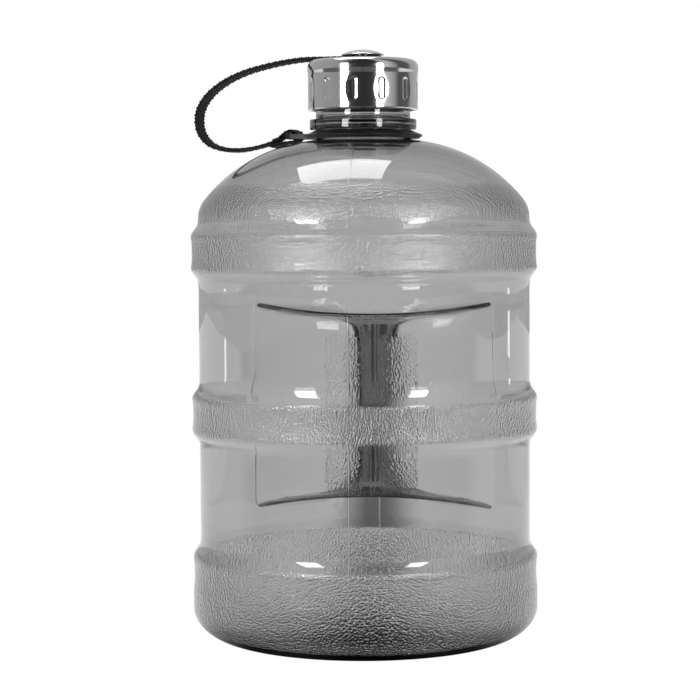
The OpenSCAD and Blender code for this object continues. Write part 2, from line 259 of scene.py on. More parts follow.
def make_floor():
    """A pale floor that glows evenly white where it is seen directly. In what the jug mirrors and
    refracts it carries painted shade: a painted shadow under the foot, painted shade further to the
    front, and a painted shadow in a streak that runs back under the post."""
    mat, tree = new_material("floor_white")
    link = tree.links.new
    path = node(tree, "LightPath")
    coords, axes = place_of(tree)
    shift = node(tree, "VectorMath", operation="SUBTRACT")
    shift.inputs[1].default_value = FOOT_SHADOW_PLACE
    link(coords, shift.inputs[0])
    far = node(tree, "VectorMath", operation="LENGTH")
    link(shift.outputs[0], far.inputs[0])
    # Painted shadow under the foot, and painted shade towards the front
    foot_shadow = fade(tree, far.outputs["Value"], FOOT_SHADOW_R, FOOT_SHADOW_LEVEL, 1.0)
    front = fade(tree, axes["Y"], FRONT_SHADE_Y, FRONT_SHADE_LEVEL, 1.0)
    # Painted shadow of the post: a dark streak that runs back under it
    line = maths(tree, "MULTIPLY_ADD", axes["Y"], POST_SHADOW_LEAN, axes["X"])
    aside = maths(tree, "ABSOLUTE", maths(tree, "SUBTRACT", line, POST_SHADOW_X))
    post_shadow = fade(tree, aside, POST_SHADOW_HALF_W, POST_SHADOW_LEVEL, 1.0)
    shade = maths(tree, "MULTIPLY", maths(tree, "MULTIPLY", foot_shadow, front), post_shadow)
    # Camera rays see the floor evenly white; the jug's other rays see the painted shade
    level = maths(tree, "MAXIMUM", shade, path.outputs["Is Camera Ray"])
    glow = linked(tree, "Emission", {"Strength": level}, Color=(1, 1, 1, 1))
    link(glow, node(tree, "OutputMaterial").inputs[0])
    corners = [(-1, -1, 0), (1, -1, 0), (1, 1, 0), (-1, 1, 0)]
    floor = mesh_object("floor", corners, [(0, 1, 2, 3)], mat, scale=FLOOR_HALF)


make_floor()


# ---------- materials
def texture(tree, kind, scale, output="Fac", **values):
    """A texture's value, in the object's own metres."""
    coords = node(tree, "TexCoord")
    tex = node(tree, kind, Scale=scale, **values)
    tree.links.new(coords.outputs["Object"], tex.inputs["Vector"])
    return tex.outputs[output]


def spread(tree, value, low, high):
    """Maps a 0 to 1 value onto a range."""
    return linked(tree, "MapRange", {"Value": value}, To_Min=low, To_Max=high)


def bump(tree, height, distance, below=None):
    """A normal from a 0 to 1 height, on top of the one below."""
    return linked(tree, "Bump", {"Height": height, "Normal": below}, Strength=1.0,
                  Distance=distance)


def shades(tree, value, dark, light):
    """A colour between two, by a 0 to 1 value."""
    mix = node(tree, "Mix", data_type="RGBA", A=(*dark, 1), B=(*light, 1))
    tree.links.new(value, mix.inputs["Factor"])
    return mix.outputs["Result"]


def finish_material(mat, tree, color, rough, normal, **constants):
    """A Principled surface with these links, and the rest as constants on its sockets."""
    surface = linked(tree, "BsdfPrincipled",
                     {"Base Color": color, "Roughness": rough, "Normal": normal}, **constants)
    out = node(tree, "OutputMaterial")
    tree.links.new(surface, out.inputs["Surface"])
    return mat, out


MOTTLE_SCALE, CLOUD_SCALE, FIBRE_SCALE, TWIST_SCALE = 60, 90, 3500, 1400


def moulded(name, dark, light, rough, grain, depth, **constants):
    """Moulded plastic or rubber: faintly mottled, with a fine grain."""
    mat, tree = new_material(name)
    cloud = texture(tree, "TexNoise", MOTTLE_SCALE, Detail=4)
    fine = texture(tree, "TexNoise", grain, Detail=3)
    return finish_material(mat, tree, shades(tree, cloud, dark, light), spread(tree, cloud, *rough),
                           bump(tree, fine, depth), **constants)[0]


def steel(name, dark, light, rough, stretch, depth):
    """Worked metal: fine marks drawn out along one direction, and faint clouds."""
    mat, tree = new_material(name)
    drawn = linked(tree, "Mapping", {"Vector": place_of(tree)[0]}, Scale=stretch)
    marks = node(tree, "TexNoise", Scale=1, Detail=5)
    tree.links.new(drawn, marks.inputs["Vector"])
    cloud = texture(tree, "TexNoise", CLOUD_SCALE, Detail=3)
    return finish_material(mat, tree, shades(tree, cloud, dark, light),
                           spread(tree, marks.outputs["Fac"], *rough),
                           bump(tree, marks.outputs["Fac"], depth), Metallic=1.0)[0]


WAVE_SCALE, WAVE_DEPTH = 22, 0.0003
PARTING_HALF_W, PARTING_H = 0.0006, 0.00006
PEBBLE_SCALE, PEBBLE_DEPTH = 950, 0.00032
JUG_ROUGH, PLASTIC_IOR, SMOKE_DENSITY = (0.015, 0.04), 1.54, 210


def jug_material():
    """Smoke-grey plastic: clear skins with absorption between them, pebbled where the attribute
    grain says so, with the slight waves of a blown wall and the mould's parting line at x = 0."""
    mat, tree = new_material("smoke_plastic")
    normal = bump(tree, texture(tree, "TexNoise", WAVE_SCALE, Detail=1), WAVE_DEPTH)
    aside = maths(tree, "ABSOLUTE", place_of(tree)[1]["X"])
    normal = bump(tree, fade(tree, aside, (0.0, PARTING_HALF_W), 1.0, 0.0), PARTING_H, normal)
    pebble = texture(tree, "TexVoronoi", PEBBLE_SCALE, "Distance", feature="F1")
    grain = node(tree, "Attribute", attribute_name="grain").outputs["Fac"]
    cast = maths(tree, "MULTIPLY", maths(tree, "POWER", pebble, 2.0), grain)
    normal = bump(tree, cast, PEBBLE_DEPTH, normal)
    mat, out = finish_material(mat, tree, None, spread(tree, grain, *JUG_ROUGH), normal,
                               Base_Color=(1, 1, 1, 1), IOR=PLASTIC_IOR, Transmission_Weight=1.0)
    dark = node(tree, "VolumeAbsorption", Color=(0, 0, 0, 1), Density=SMOKE_DENSITY)
    tree.links.new(dark.outputs[0], out.inputs["Volume"])
    return mat


def webbing_material():
    """Black nylon yarn with painted shade in the grooves between the yarns, fine fibres and a soft
    sheen.
    """
    mat, tree = new_material("black_webbing")
    crown = node(tree, "Attribute", attribute_name="crown")
    fibre = texture(tree, "TexNoise", FIBRE_SCALE, Detail=2)
    # Painted shade: the colour is darker where the attribute crown is low, in the grooves between the
    # yarns
    yarn = shades(tree, crown.outputs["Fac"], (0.0015, 0.0015, 0.0015), (0.016, 0.016, 0.0165))
    return finish_material(mat, tree, yarn, spread(tree, fibre, 0.55, 0.85), bump(tree, fibre, 0.00012),
                           Sheen_Weight=0.06, Sheen_Roughness=0.4, Specular_IOR_Level=0.25)[0]


def thread_material():
    """Bonded nylon thread, its twist seen as slanted stripes in its bump, with painted shade in the
    grooves between them.
    """
    mat, tree = new_material("black_thread")
    twist = texture(tree, "TexWave", TWIST_SCALE, bands_direction="DIAGONAL", Distortion=1.0)
    # Painted shade: darker where the twist's height is low, in its grooves
    color = shades(tree, twist, (0.004, 0.004, 0.004), (0.045, 0.045, 0.047))
    return finish_material(mat, tree, color, spread(tree, twist, 0.4, 0.6),
                           bump(tree, twist, 0.0001))[0]


def paint(name, mat):
    """Gives a CAD node its material."""
    mesh = nodes[name].data
    mesh.materials.clear()
    mesh.materials.append(mat)


def ease(f):
    """A smooth step from 0 to 1 as f goes from 0 to 1."""
    f = np.clip(f, 0, 1)
    return f * f * (3 - 2 * f)


# ---------- the webbing
# The route is distance from the axis and height, along the tether's direction, in millimetres.
STRAP_ANGLE = math.radians(165)
STRAP_HALF_W, STRAP_HALF_T, STRAP_START, STRAP_END_S, HOLE_R = 5.0, 0.8, 10.0, -4.0, 3.5
ROUTE = (
    (10, 276.75), (20, 276.75), (29.5, 276.5), (36.5, 275.9), (43, 275), (51.5, 273.4),
    (60, 271.3), (69, 267.8), (76.5, 263.3), (81.5, 258.5), (84.4, 253.5), (85.2, 248.5),
    (84.4, 243.5), (82, 239.5), (78.5, 236.6), (74, 234.9), (69, 234), (62.5, 233.9),
    (55, 234.9), (48.5, 236.4), (43.8, 238), (41.2, 239.7), (39, 241.5), (36.6, 242.6),
    (34.4, 242.4), (32.7, 241.4), (32.2, 239.8), (32.9, 238.2), (34.6, 237.3),
    (37.2, 237.1), (40, 236.8), (43, 236.1), (46, 235.2))
ROUTE_STEPS, SECTION, RING_GAP = 24, 24, 0.25
PICK, YARNS, YARN_GAP_T, SCALLOP, EDGE_POWER = 1.7, 6, 0.3, 0.28, 10
LOFT, BOW_START, BOW_END, BOW_EASE = 0.4, 6.0, 128.0, 14.0
TAB_SIDE, TAB_TURN, TAB_RINGS = 28, 32, 10
SEAM_S, SEAM_Z, SEAM_DROP = 43.5, (238.12, 236.3), 1 / 3
STITCH_ROWS, STITCH_START, STITCH_GAP, STITCH_HALF, STITCH_PITCH = 5, 42.2, 0.75, 4.0, 1.6
STITCH_R, STITCH_BITE, STITCH_PULL, STITCH_SLANT, THREAD_TIP = 0.3, 0.15, 0.22, 0.12, 0.6


def on_tether(p):
    """Points given as distance from the axis, place across the webbing and height."""
    s, w, z = np.moveaxis(np.asarray(p, float), -1, 0)
    c, d = math.cos(STRAP_ANGLE), math.sin(STRAP_ANGLE)
    return np.stack([s * c - w * d, s * d + w * c, z], -1)


def route_line(gap):
    """Smooth line through the route's points, its points an even gap apart."""
    p = np.array(ROUTE, float)
    ends = np.vstack([p[:1], p, p[-1:]])
    f = np.arange(ROUTE_STEPS)[:, None] / ROUTE_STEPS
    parts = [0.5 * (2 * b + (c - a) * f + (2 * a - 5 * b + 4 * c - d) * f ** 2
                    + (3 * b - a - 3 * c + d) * f ** 3)
             for a, b, c, d in zip(ends, ends[1:], ends[2:], ends[3:])]
    line = np.vstack(parts + [p[-1:]])
    far = np.concatenate([[0], np.cumsum(np.linalg.norm(np.diff(line, axis=0), axis=1))])
    even = np.linspace(0, far[-1], round(far[-1] / gap) + 1)
    return np.stack([np.interp(even, far, line[:, k]) for k in (0, 1)], 1), even


def weave(along, across, side):
    """Half thickness of the webbing, and how far each place stands up out of the yarns' grooves, which
    also sets the painted shade in the grooves.
    """
    rib = np.abs(np.sin(np.pi * along / PICK))
    yarn = (across / STRAP_HALF_W + 1) / 2 * YARNS
    column = np.clip(np.floor(yarn), 0, YARNS - 1)
    rounding = np.sqrt(np.clip(1 - (1.8 * (yarn - column) - 0.9) ** 2, 0, 1))
    over = 0.5 + 0.5 * np.cos(np.pi * (along / PICK - 0.5 + column + side))
    crown = (0.25 + 0.75 * over) * rounding * (0.35 + 0.65 * rib)
    edge = np.clip(1 - np.abs(across / STRAP_HALF_W) ** EDGE_POWER, 0, 1)
    half = YARN_GAP_T + (STRAP_HALF_T - YARN_GAP_T) * (0.45 * rib + 0.55 * crown)
    return half * (0.45 + 0.55 * edge), crown


def loft(along):
    """How much thicker the webbing is in its free bow than where it is pressed or sewn."""
    return LOFT * ease(np.minimum(along - BOW_START, BOW_END - along) / BOW_EASE)


def scallop(along):
    """Half width of the webbing, drawn in between the picks."""
    return STRAP_HALF_W - SCALLOP * (1 - np.abs(np.sin(np.pi * along / PICK)))


def woven_sweep(u):
    """The webbing's two faces along its route, from the tab's edge to its sewn end."""
    line, far = route_line(RING_GAP)
    tangent = np.gradient(line, axis=0)
    tangent /= np.linalg.norm(tangent, axis=1)[:, None]
    normal = np.stack([-tangent[:, 1], tangent[:, 0]], 1)
    normal[0] = (0, 1)
    points, crowns, faces = [], [], []
    for side, sign in ((0, 1), (1, -1)):
        half, crown = weave(far[:, None], u[None, :] * STRAP_HALF_W, side)
        half = half * (1 + loft(far)[:, None] / STRAP_HALF_T)
        wide = u[None, :] * scallop(far)[:, None]
        s = line[:, :1] + sign * half * normal[:, :1]
        z = line[:, 1:] + sign * half * normal[:, 1:]
        points.append(np.stack([s, wide, z], -1).reshape(-1, 3))
        crowns.append(crown.ravel())
    n, low = len(u), len(line) * len(u)
    for first in range(0, low - n, n):
        for a in range(first, first + SECTION):
            b = a + low
            faces.append((a, a + n, a + n + 1, a + 1))
            faces.append((b, b + 1, b + n + 1, b + n))
        a, b = first, first + SECTION
        faces.append((a, a + low, a + low + n, a + n))
        faces.append((b, b + n, b + low + n, b + low))
    for a in range(low - n, low - 1):
        faces.append((a, a + low, a + low + 1, a + 1))
    return points, crowns, faces


def woven_tab(u, start):
    """The webbing's end under the rivet: rings of points from its outline, which begins with the
    sweep's edge, to the eyelet's hole. Its first point is number start."""
    edge_s = np.linspace(STRAP_START, STRAP_END_S, TAB_SIDE + 1)[1:]
    turn = np.radians(np.linspace(90, 270, TAB_TURN + 1)[1:-1])
    outline = ([(STRAP_START, w * scallop(0)) for w in u]
               + [(s, scallop(s - STRAP_START)) for s in edge_s]
               + [(STRAP_END_S + STRAP_HALF_W * math.cos(t), STRAP_HALF_W * math.sin(t)) for t in turn]
               + [(s, -scallop(s - STRAP_START)) for s in edge_s[::-1]])
    outline = np.array(outline)
    around = np.arctan2(outline[:, 1], outline[:, 0])
    hole = HOLE_R * np.stack([np.cos(around), np.sin(around)], 1)
    m, n, steps = len(outline), len(u), TAB_RINGS
    points, crowns, faces = [], [], []
    for side, sign in ((0, 1), (1, -1)):
        for k in range(steps + 1):
            p = outline + (hole - outline) * k / steps
            half, crown = weave(p[:, 0] - STRAP_START, p[:, 1], side)
            if k == 0:
                half[:n], crown[:n] = weave(0.0, u * STRAP_HALF_W, side)
            points.append(np.column_stack([p, ROUTE[0][1] + sign * half]))
            crowns.append(crown)
    for i in range(m):
        j = (i + 1) % m
        for k in range(steps):
            a, b = start + k * m, start + (k + 1) * m
            faces.append((a + i, a + j, b + j, b + i))
            a, b = a + (steps + 1) * m, b + (steps + 1) * m
            faces.append((a + i, b + i, b + j, a + j))
        a, b = start + steps * m, start + (2 * steps + 1) * m
        faces.append((a + i, a + j, b + j, b + i))
        if i >= SECTION:
            a, b = start, start + (steps + 1) * m
            faces.append((a + i, b + i, b + j, a + j))
    return points, crowns, faces


def make_webbing():
    """The webbing as one closed mesh: a sweep along the route, and the tab with its hole."""
    u = np.linspace(-1, 1, SECTION + 1)
    sweep = woven_sweep(u)
    tab = woven_tab(u, sum(len(p) for p in sweep[0]))
    points, crowns, faces = (a + b for a, b in zip(sweep, tab))
    return on_tether(np.concatenate(points)), faces, np.concatenate(crowns)


def weld(obj, gap=1e-6):
    """Joins vertices that lie on each other, and makes the faces look outwards."""
    work = bmesh.new()
    work.from_mesh(obj.data)
    bmesh.ops.remove_doubles(work, verts=work.verts, dist=gap)
    bmesh.ops.recalc_face_normals(work, faces=work.faces)
    work.to_mesh(obj.data)
    work.free()
    obj.data.shade_smooth()


def ring_faces(n, columns, closed=False):
    """Faces between each ring of points and the next, and over both ends or back to the first."""
    faces = [(k * columns + i, k * columns + (i + 1) % columns,
              (k + 1) % n * columns + (i + 1) % columns, (k + 1) % n * columns + i)
             for k in range(n if closed else n - 1) for i in range(columns)]
    if not closed:
        faces += [tuple(range(columns))[::-1], tuple(range((n - 1) * columns, n * columns))]
    return faces


def tube(line, radius, sides=12):
    """Vertices and faces of a round thread that follows a line in the plane across the webbing."""
    line = np.asarray(line, float)
    t = np.gradient(line, axis=0)
    t /= np.linalg.norm(t, axis=1)[:, None]
    x = np.array([1.0, 0, 0])
    y = np.cross(t, x)
    a = np.arange(sides) * 2 * math.pi / sides
    rings = [c + radius * r * (np.cos(a)[:, None] * x + np.sin(a)[:, None] * n)
             for c, n, r in zip(line, y, [THREAD_TIP] + [1.0] * (len(line) - 2) + [THREAD_TIP])]
    return np.vstack(rings), ring_faces(len(line), sides)


def make_stitches():
    """Rows of thread over both layers, drawn into the webbing between the stitches."""
    points, faces = [], []
    w = np.linspace(-STITCH_HALF, STITCH_HALF, 61)
    pull = STITCH_PULL * (1 - np.sqrt(np.abs(np.cos(np.pi * w / STITCH_PITCH))))
    for layer, sign in zip(SEAM_Z, (1, -1)):
        for row in range(STITCH_ROWS):
            s = STITCH_START + row * STITCH_GAP
            z = layer - (s - SEAM_S) * SEAM_DROP + sign * (STRAP_HALF_T + STITCH_BITE - pull)
            sway = STITCH_SLANT if row % 2 else -STITCH_SLANT
            slant = s + sway * np.sin(np.pi * w / STITCH_PITCH)
            p, f = tube(np.stack([slant, w, z], 1), STITCH_R)
            shift = sum(len(q) for q in points)
            points.append(p)
            faces += [tuple(i + shift for i in g) for g in f]
    return on_tether(np.vstack(points)), faces


vertices, faces, crowns = make_webbing()
# The crown attribute carries the painted shade between the yarns
strap = mesh_object("webbing_strap", vertices, faces, webbing_material(), crown=crowns)
weld(strap)
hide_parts("strap")
stitches = mesh_object("bar_tack", *make_stitches(), thread_material())
weld(stitches)
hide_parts("strap_stitching")
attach(stitches, "ring")

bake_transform(strap)


# ---------- the jug's two skins
# The numbers are the CAD's, in millimetres.
WALL_R, RIB_R, BAND_R, BASE_R, WALL_T = 78.7, 82.5, 81.8, 82.3, 1.9
UPPER_BAND_Z, MIDDLE_BAND_Z, BASE_CREST_Z = 184.7, 108.0, 40.0
CREST_GAP, CREST_RISE, CREST_FALL = 15.5, 6.0, 2.8
BASE_STEP_Z, BASE_FILLET_H, FOOT_R, FOOT_IN_R, PUNT_H = 27.0, 16.0, 60.0, 50.0, 7.0
SHOULDER_Z, SHOULDER_ROUND, CROWN_ROUND, CROWN_C = 200.8, 14.0, 75.0, 17.0
NECK_R, BORE_R, RIM_Z = 22.4, 20.0, 268.8
NECK_FOOT_Z, THREAD_FOOT_Z, THREAD_ROW = 238.6, 252.5, 0.42
FLANGE_R, FLANGE_Z, FLANGE_H, FLANGE_SKIN, EDGE = 25.35, 242.4, 4.9, 1.2, 0.6
THREAD_R, THREAD_Z, THREAD_LEAD, THREAD_TURNS = 23.75, 255.0, 5.0, 1.5
THREAD_HALF_H, THREAD_FLANK, THREAD_FADE = 1.1, 0.6, 8
RECESS_Y, CORNER_X = 30.0, 61.0
CORNER_Y = math.sqrt(WALL_R ** 2 - CORNER_X ** 2)
DRUM_R = (CORNER_X ** 2 + (CORNER_Y - RECESS_Y) ** 2) / (2 * (CORNER_Y - RECESS_Y))
DRUM_Y = RECESS_Y + DRUM_R
CORNER_ANGLE = math.degrees(math.atan2(CORNER_X, CORNER_Y))
FLOOR_Z, FLOOR_ARCH, FLOOR_SLOPE, ROOF_Z, ROOF_ARCH = 59.2, 6.0, 0.126, 151.8, 5.5
POST_HALF, POST_Y, POST_CORNER, POST_WALL_T = 10.85, 56.0, 4.5, 3.0
RECESS_FILLET, MOUTH_EDGE = 2.6, 2.0
# The post's flares: radius on its front and on its sides, at the floor and at the roof, with
# what lies between in the FLARE_SPAN above FLARE_Z
FLARE_LOW, FLARE_HIGH, FLARE_Z, FLARE_SPAN = (13.0, 20.0), (7.0, 11.0), 85.0, 45.0
FLARE_SIDE, FLARE_SIDE_SPAN = 6.0, 10.0
WINDOW_Z, POST_HOLE_ANGLE = (48.0, 164.0), 17.5
FLOOR_ROWS, HOLE_ROWS, POST_RINGS, COLUMNS = 12, 9, 44, 192


def ramp(r0, z0, r1, z1, steps):
    """Points of an eased step from one radius to another, without its last point."""
    return [(r0 + (r1 - r0) * ease(i / steps), z0 + (z1 - z0) * i / steps) for i in range(steps)]


def arc(cr, cz, r, a0, a1, steps, skip_last=False):
    """Points of an arc by its centre, radius and first and last angle."""
    n = steps if skip_last else steps + 1
    turns = [math.radians(a0 + (a1 - a0) * i / steps) for i in range(n)]
    return [(cr + r * math.cos(a), cz + r * math.sin(a)) for a in turns]


def band(zc, t):
    """Outline of a raised band with a crest at each edge, t inside the outer skin."""
    lo, hi = zc - CREST_GAP / 2, zc + CREST_GAP / 2
    return (ramp(WALL_R - t, lo - CREST_RISE, RIB_R - t, lo, 9)
            + ramp(RIB_R - t, lo, BAND_R - t, lo + CREST_FALL, 5)
            + [(BAND_R - t, lo + CREST_FALL + (hi - lo - 2 * CREST_FALL) * i / 5) for i in range(5)]
            + ramp(BAND_R - t, hi - CREST_FALL, RIB_R - t, hi, 5)
            + ramp(RIB_R - t, hi, WALL_R - t, hi + CREST_RISE, 9))


def outline_radius(z):
    """Radius of the outer skin from the base band to the dome, its crests softened."""
    return np.interp(z, OUTLINE_Z, OUTLINE_R)


def base_rows(t):
    """Outline of the base: raised middle, foot ring, rounding, step and crest."""
    low, high = BASE_STEP_Z + 1, BASE_CREST_Z - CREST_FALL
    rows = [(FOOT_IN_R * i / 14, t + PUNT_H * (1 + math.cos(math.pi * i / 14)) / 2)
            for i in range(1, 15)]
    rows += [(FOOT_IN_R + (FOOT_R - FOOT_IN_R) * i / 3, t) for i in range(1, 3)]
    rows += [(FOOT_R + (BASE_R - FOOT_R - t) * math.sin(math.pi * i / 36),
              BASE_FILLET_H - (BASE_FILLET_H - t) * math.cos(math.pi * i / 36)) for i in range(19)]
    rows += [(BASE_R - t, BASE_FILLET_H + 3.3), (BASE_R - t, BASE_FILLET_H + 6.6)]
    rows += ramp(BASE_R - t, BASE_STEP_Z - 1, BAND_R - t, low, 5)
    rows += [(BAND_R - t, low + (high - low) * i / 4) for i in range(4)]
    rows += ramp(BAND_R - t, high, RIB_R - t, BASE_CREST_Z, 5)
    rows += ramp(RIB_R - t, BASE_CREST_Z, WALL_R - t, BASE_CREST_Z + CREST_RISE + 1, 9)
    return rows + [(WALL_R - t, BASE_CREST_Z + CREST_RISE + 1)]


# The outline's crests are softened by a running average.
OUTLINE_SOFT, OUTLINE_GAP, OUTLINE_REACH = 1.3, 0.2, 25
OUTLINE_Z = np.arange(16.0, 206.0, OUTLINE_GAP)
rows = np.array(base_rows(0)[20:] + band(MIDDLE_BAND_Z, 0) + band(UPPER_BAND_Z, 0)
                + [(WALL_R, UPPER_BAND_Z + CREST_GAP / 2 + CREST_RISE), (WALL_R, 207.0)])
offsets = np.arange(-OUTLINE_REACH, OUTLINE_REACH + 1) * OUTLINE_GAP
kernel = np.exp(-0.5 * (offsets / OUTLINE_SOFT) ** 2)
OUTLINE_R = np.pad(np.interp(OUTLINE_Z, rows[:, 1], rows[:, 0]), OUTLINE_REACH, mode="edge")
OUTLINE_R = np.convolve(OUTLINE_R, kernel / kernel.sum(), mode="valid")


def softened(rows):
    """The same outline with its crests softened, above the base's rounding."""
    return [(float(outline_radius(z)) if z > BASE_FILLET_H + 1 else r, z) for r, z in rows]


def dome_rows(t, r_end):
    """Outline of the shoulder and the dome up to the neck, t inside the outer skin."""
    span = CROWN_ROUND - SHOULDER_ROUND
    join = math.degrees(math.acos((WALL_R - SHOULDER_ROUND - CROWN_C) / span))
    crown_z = SHOULDER_Z - span * math.sin(math.radians(join))
    top = math.degrees(math.acos((r_end - CROWN_C) / (CROWN_ROUND - t)))
    return (arc(WALL_R - SHOULDER_ROUND, SHOULDER_Z, SHOULDER_ROUND - t, 0, join, 10, True)
            + arc(CROWN_C, crown_z, CROWN_ROUND - t, join, top, 26))


def neck_outside():
    """Outline of the neck, its flange and its rim, with even rows for the thread."""
    top, flat = FLANGE_Z + FLANGE_H, FLANGE_R - EDGE
    rows = [(NECK_R, NECK_FOOT_Z), (NECK_R, 240.5), (NECK_R, FLANGE_Z - 0.3),
            (NECK_R + 0.3, FLANGE_Z), (flat - 0.8, FLANGE_Z)]
    rows += arc(flat, FLANGE_Z + EDGE, EDGE, -90, 0, 4) + [(FLANGE_R, FLANGE_Z + FLANGE_H / 2)]
    rows += arc(flat, top - EDGE, EDGE, 0, 90, 4)
    rows += [(flat - 0.8, top), (NECK_R + 0.3, top), (NECK_R, top + 0.3), (NECK_R, 250.0)]
    rows += [(NECK_R, THREAD_FOOT_Z + THREAD_ROW * i) for i in range(33)]
    return rows + arc(NECK_R - EDGE, RIM_Z - EDGE, EDGE, 0, 90, 4)


def neck_inside():
    """Outline of the bore, with the hollow of the flange."""
    low, high = FLANGE_Z + FLANGE_SKIN, FLANGE_Z + FLANGE_H - FLANGE_SKIN
    deep = FLANGE_R - WALL_T
    rows = [(BORE_R, 239.0), (BORE_R, low - 0.6), (BORE_R, low - 0.1), (BORE_R + 0.1, low)]
    rows += [(deep - 0.4, low + EDGE - 0.1), (deep, low + EDGE + 0.15), (deep, high - EDGE - 0.15),
             (deep - 0.4, high - EDGE + 0.1), (BORE_R + 0.1, high), (BORE_R, high + 0.1)]
    return rows + [(BORE_R, z) for z in (high + 0.6, 252.0, 257.0, 262.0, 266.0)] + [
        (BORE_R, RIM_Z - EDGE), (BORE_R + 0.18, RIM_Z - 0.18), (BORE_R + EDGE, RIM_Z)]


def floor_height(x, y):
    return FLOOR_Z - FLOOR_ARCH * (x / CORNER_X) ** 2 + FLOOR_SLOPE * (WALL_R - y)


def roof_height(x):
    return ROOF_Z + ROOF_ARCH * (x / CORNER_X) ** 2


def meet(a, b, r):
    """Distance to what two shapes share, with the edge between them rounded to radius r."""
    return (np.minimum(-r, np.maximum(a, b))
            + np.hypot(np.maximum(r + a, 0), np.maximum(r + b, 0)))


def wall_field(p):
    """Signed distance to the outer skin near the recess: negative in the plastic and inside."""
    x, y, z = p.T
    wall = np.hypot(x, y) - outline_radius(z)
    void = meet(np.hypot(x, y - DRUM_Y) - DRUM_R, floor_height(x, y) - z, RECESS_FILLET)
    void = meet(void, z - roof_height(x), RECESS_FILLET)
    post = meet(np.abs(x) - POST_HALF, POST_Y - y, POST_CORNER)
    high = ease((z - FLARE_Z) / FLARE_SPAN)
    side = ease((np.abs(x) - POST_HALF + FLARE_SIDE) / FLARE_SIDE_SPAN)
    low_flare, high_flare = (front + (flank - front) * side for front, flank in (FLARE_LOW, FLARE_HIGH))
    void = meet(void, -post, low_flare + (high_flare - low_flare) * high)
    return meet(wall, -void, MOUTH_EDGE)


def gradient(p, h=0.02):
    """The field's slope along each axis, measured over h to each side."""
    g = np.empty_like(p)
    for k in range(3):
        step = np.zeros(3)
        step[k] = h
        g[:, k] = (wall_field(p + step) - wall_field(p - step)) / (2 * h)
    return g


def normals(p):
    """The field's slope at unit length, where it isn't nearly flat."""
    g = gradient(p)
    return g / np.maximum(np.linalg.norm(g, axis=1), 0.1)[:, None]


def settle(p, level, rounds=6):
    """Moves points along the field's gradient onto the outer skin (level 0) or the inner (1)."""
    for _ in range(rounds):
        g = gradient(p)
        size = np.maximum((g * g).sum(1), 0.05)
        step = ((wall_field(p) + level * depth_of_plastic(p)) / size)[:, None] * g
        length = np.maximum(np.linalg.norm(step, axis=1), 1e-9)
        p = p - step * np.minimum(1, 3 / length)[:, None]
    return p


def depth_of_plastic(p):
    """Thickness of the wall: more in the post than elsewhere."""
    x, y, z = p.T
    near = (np.clip((POST_HALF + 5 - np.abs(x)) / 5, 0, 1) * np.clip((y - 46) / 6, 0, 1)
            * np.clip(np.minimum(z - FLOOR_Z - 2, ROOF_Z - 2 - z) / 8, 0, 1))
    return WALL_T + (POST_WALL_T - WALL_T) * ease(near)


def column_angles():
    """Angles of the mesh's columns from +Y, closer together at the recess's and the post's edges."""
    fine = np.linspace(-180, 180, 7201)
    density = (1 + 2.5 * np.exp(-(((np.abs(fine) - CORNER_ANGLE) / 3.5) ** 2))
               + 1.2 * np.exp(-(((np.abs(fine) - 9) / 6) ** 2)))
    total = np.concatenate([[0], np.cumsum((density[1:] + density[:-1]) / 2)])
    return np.interp(np.arange(COLUMNS) / COLUMNS * total[-1], total, fine)


def window_rows(angles):
    """Rows of points from the base's crest to the upper band; at the back they line the recess."""
    a = np.radians(angles)
    edge = math.radians(CORNER_ANGLE + 0.3)
    inside = np.abs(a) < edge
    w = WALL_R * np.stack([np.sin(a), np.cos(a)], 1)
    drum_a = np.clip(a / edge, -1, 1) * math.asin(CORNER_X / DRUM_R)
    drum = np.stack([DRUM_R * np.sin(drum_a), DRUM_Y - DRUM_R * np.cos(drum_a)], 1)
    b = np.where(inside[:, None], drum, w)
    xc = np.clip(w[:, 0], -CORNER_X, CORNER_X)
    xc = np.where(w[:, 1] < 0, np.sign(xc) * CORNER_X, xc)
    yc = np.maximum(w[:, 1], CORNER_Y)
    middle = np.where(inside, 1 - np.abs(a) / edge, 0)
    gap = 2.6 * (1 - ease(middle * 3)) + 0.4
    z1 = floor_height(xc, yc) - gap
    z4 = roof_height(xc) + gap
    z2 = np.where(inside, floor_height(b[:, 0], b[:, 1]), floor_height(xc, yc)) + gap
    z3 = np.where(inside, roof_height(b[:, 0]), roof_height(xc)) - gap
    zc = [MIDDLE_BAND_Z + s for s in (*range(-44, -19, 4), -16.5)]
    zc += [z for r, z in band(MIDDLE_BAND_Z, 0)]
    zc += [MIDDLE_BAND_Z + s for s in (13.75, 16.5, *range(20, 45, 4))]

    def between(p, low, q, high, parts):
        return [np.column_stack([p + (q - p) * f, low + (high - low) * f]) for f in parts]

    grid = between(w, WINDOW_Z[0], w, z1, (0, 0.35, 0.7))
    grid += between(w, z1, b, z2, np.arange(FLOOR_ROWS) / FLOOR_ROWS)
    lo, hi = zc[0] - 3, zc[-1] + 3
    for z in [lo, *zc, hi]:
        f = (z - lo) / (hi - lo)
        zz = z2 + (z3 - z2) * f
        r = np.where(inside, 1, outline_radius(zz) / WALL_R)
        grid.append(np.column_stack([b * r[:, None], zz]))
    grid += between(b, z3, w, z4, np.arange(1, FLOOR_ROWS + 1) / FLOOR_ROWS)
    return np.array(grid + between(w, z4, w, WINDOW_Z[1], (0.3, 0.65, 1)))


